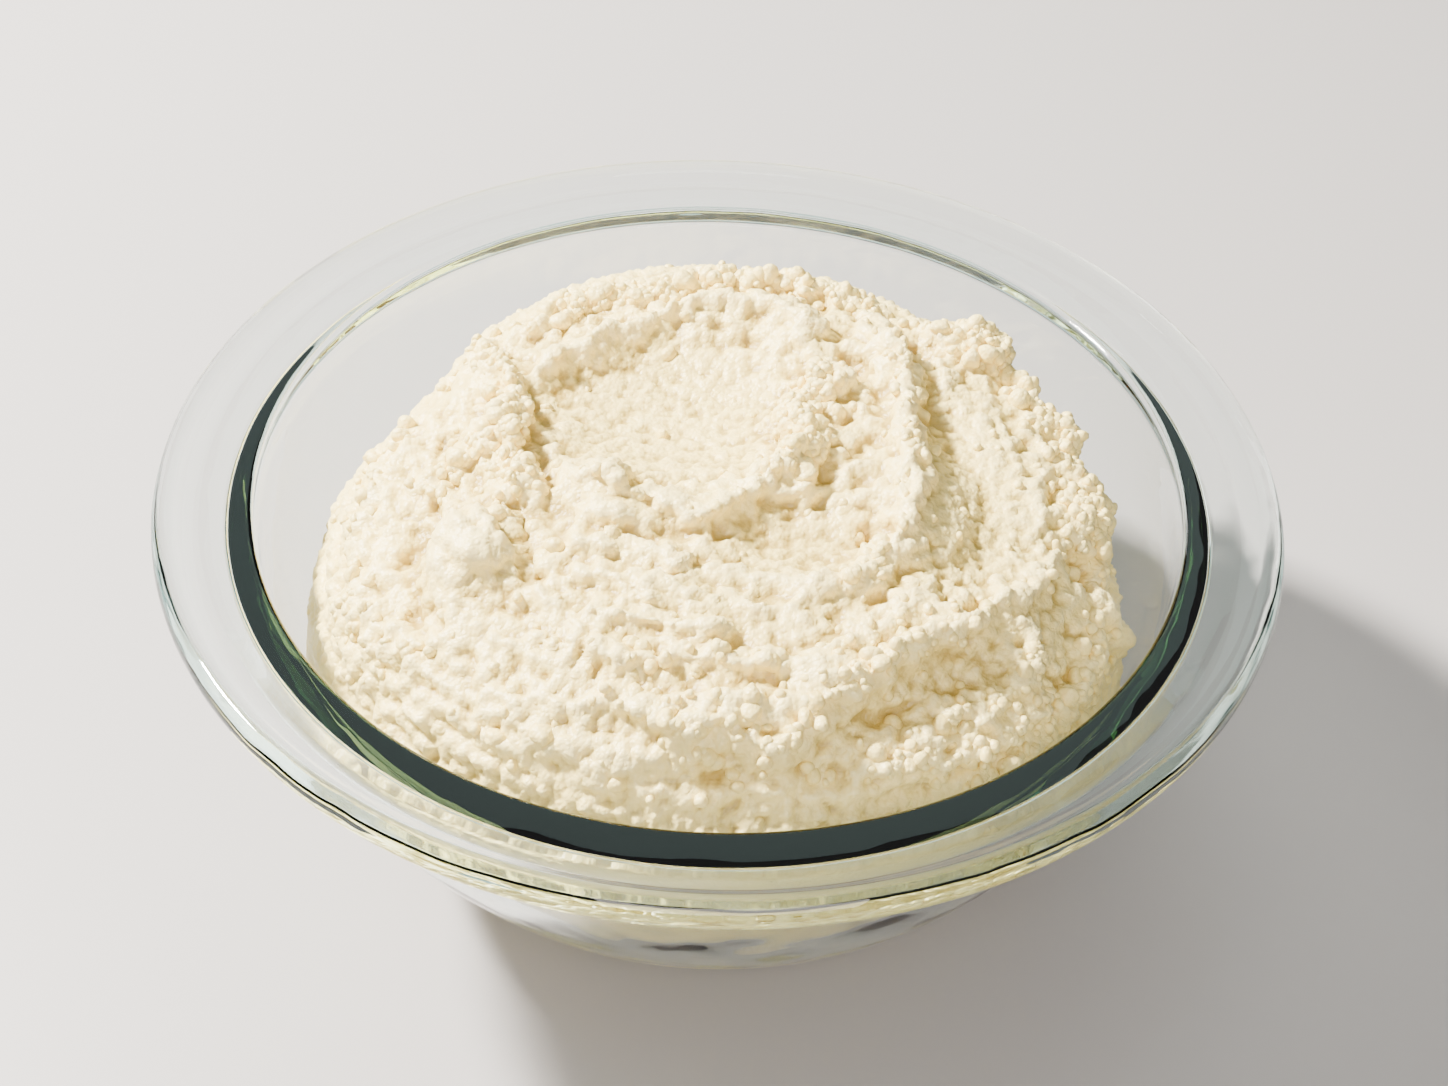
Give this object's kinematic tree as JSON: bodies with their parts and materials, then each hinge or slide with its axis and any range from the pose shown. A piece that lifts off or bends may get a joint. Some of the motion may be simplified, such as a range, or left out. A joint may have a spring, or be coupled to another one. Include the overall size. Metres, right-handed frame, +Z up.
{
  "type": "ricotta in a glass bowl",
  "caption": "Fresh ricotta heaped in a round clear glass mixing bowl, its top folded and swirled by a spoon.",
  "frame": {"origin": "centre of the bowl's flat base, on the surface it stands on", "axes": "+Z up out of the bowl, +X to the right and +Y to the back as the spoon strokes are read"},
  "size_m": [0.25, 0.25, 0.1195],
  "materials": {
    "clear_glass": "clear polished glass, faintly green where it is thick",
    "ricotta_curd": "moist soft cheese curd, grainy, creamy white"
  },
  "bodies": {
    "root": {"bowl": "clear_glass", "ricotta": "ricotta_curd"}
  },
  "joints": []
}
